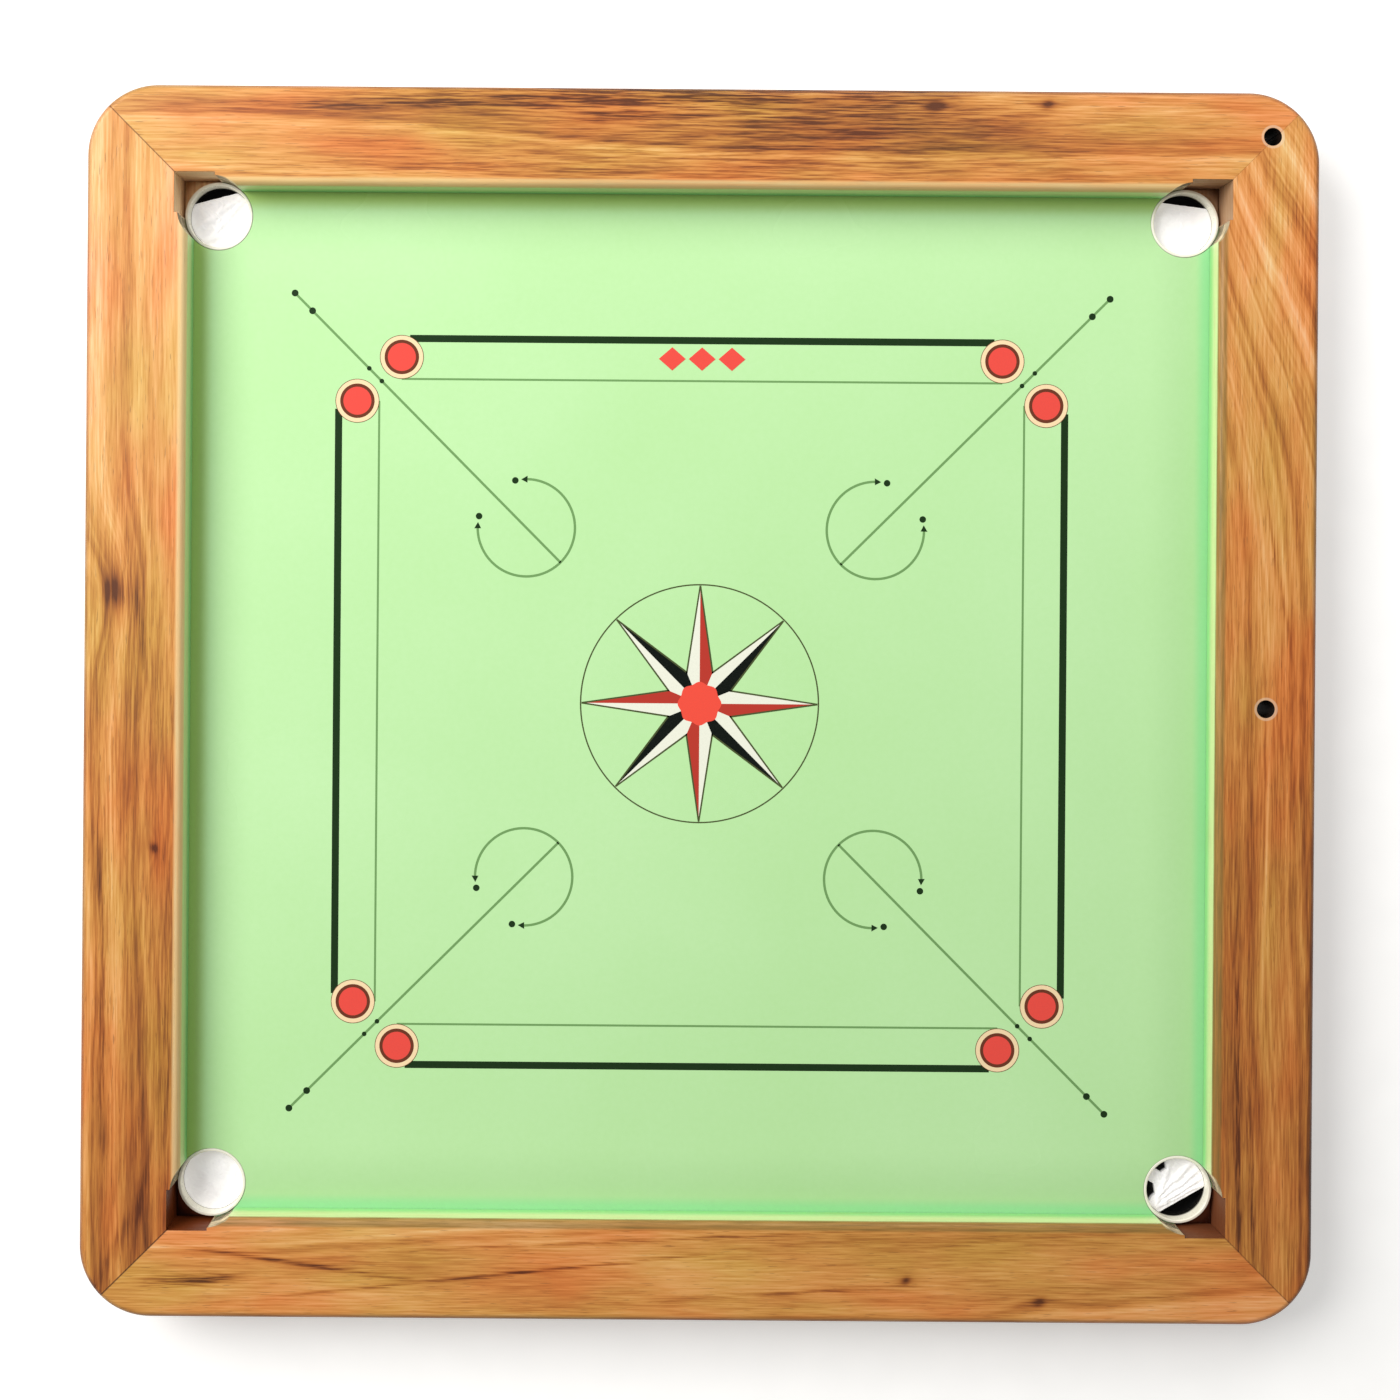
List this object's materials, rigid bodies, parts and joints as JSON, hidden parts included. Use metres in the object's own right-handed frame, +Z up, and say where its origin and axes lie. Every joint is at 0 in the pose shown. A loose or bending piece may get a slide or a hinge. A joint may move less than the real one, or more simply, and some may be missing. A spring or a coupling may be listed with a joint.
{
  "type": "carrom board",
  "caption": "Square carrom board: mitred hardwood frame around a green lacquered playing board with printed court markings, and ring-lined corner pockets with nets.",
  "frame": {"origin": "centre of the square frame, on the flat ground face of its underside", "axes": "+Z up out of the playing surface, +X towards the rail with a hanging hole at its middle, +Y towards the rail that shares the other hanging hole, at the far right corner"},
  "size_m": [0.881, 0.881, 0.05],
  "materials": {
    "rail_wood": "oiled hardwood, orange-brown with darker streaks, grain along each rail",
    "lacquered_board": "plywood with a smooth pale green lacquer on top and printed markings",
    "ring_plastic": "white moulded plastic",
    "net_nylon": "white knitted nylon net",
    "batten_wood": "unfinished softwood",
    "tongue_wood": "unfinished plywood",
    "zinc_steel": "zinc-plated steel"
  },
  "bodies": {
    "root": {"batten_far": "batten_wood", "batten_left": "batten_wood", "batten_near": "batten_wood", "batten_right": "batten_wood", "batten_screw_01": "zinc_steel", "batten_screw_02": "zinc_steel", "batten_screw_03": "zinc_steel", "batten_screw_04": "zinc_steel", "batten_screw_05": "zinc_steel", "batten_screw_06": "zinc_steel", "batten_screw_07": "zinc_steel", "batten_screw_08": "zinc_steel", "board_screw_01": "zinc_steel", "board_screw_02": "zinc_steel", "board_screw_03": "zinc_steel", "board_screw_04": "zinc_steel", "board_screw_05": "zinc_steel", "board_screw_06": "zinc_steel", "board_screw_07": "zinc_steel", "board_screw_08": "zinc_steel", "board_screw_09": "zinc_steel", "board_screw_10": "zinc_steel", "board_screw_11": "zinc_steel", "board_screw_12": "zinc_steel", "mitre_tongue_far_left": "tongue_wood", "mitre_tongue_far_right": "tongue_wood", "mitre_tongue_near_left": "tongue_wood", "mitre_tongue_near_right": "tongue_wood", "net_tack_01": "zinc_steel", "net_tack_02": "zinc_steel", "net_tack_03": "zinc_steel", "net_tack_04": "zinc_steel", "net_tack_05": "zinc_steel", "net_tack_06": "zinc_steel", "net_tack_07": "zinc_steel", "net_tack_08": "zinc_steel", "net_tack_09": "zinc_steel", "net_tack_10": "zinc_steel", "net_tack_11": "zinc_steel", "net_tack_12": "zinc_steel", "playing_board": "lacquered_board", "pocket_net_far_left": "net_nylon", "pocket_net_far_right": "net_nylon", "pocket_net_near_left": "net_nylon", "pocket_net_near_right": "net_nylon", "pocket_ring_far_left": "ring_plastic", "pocket_ring_far_right": "ring_plastic", "pocket_ring_near_left": "ring_plastic", "pocket_ring_near_right": "ring_plastic", "rail_far": "rail_wood", "rail_left": "rail_wood", "rail_near": "rail_wood", "rail_right": "rail_wood"}
  },
  "joints": []
}
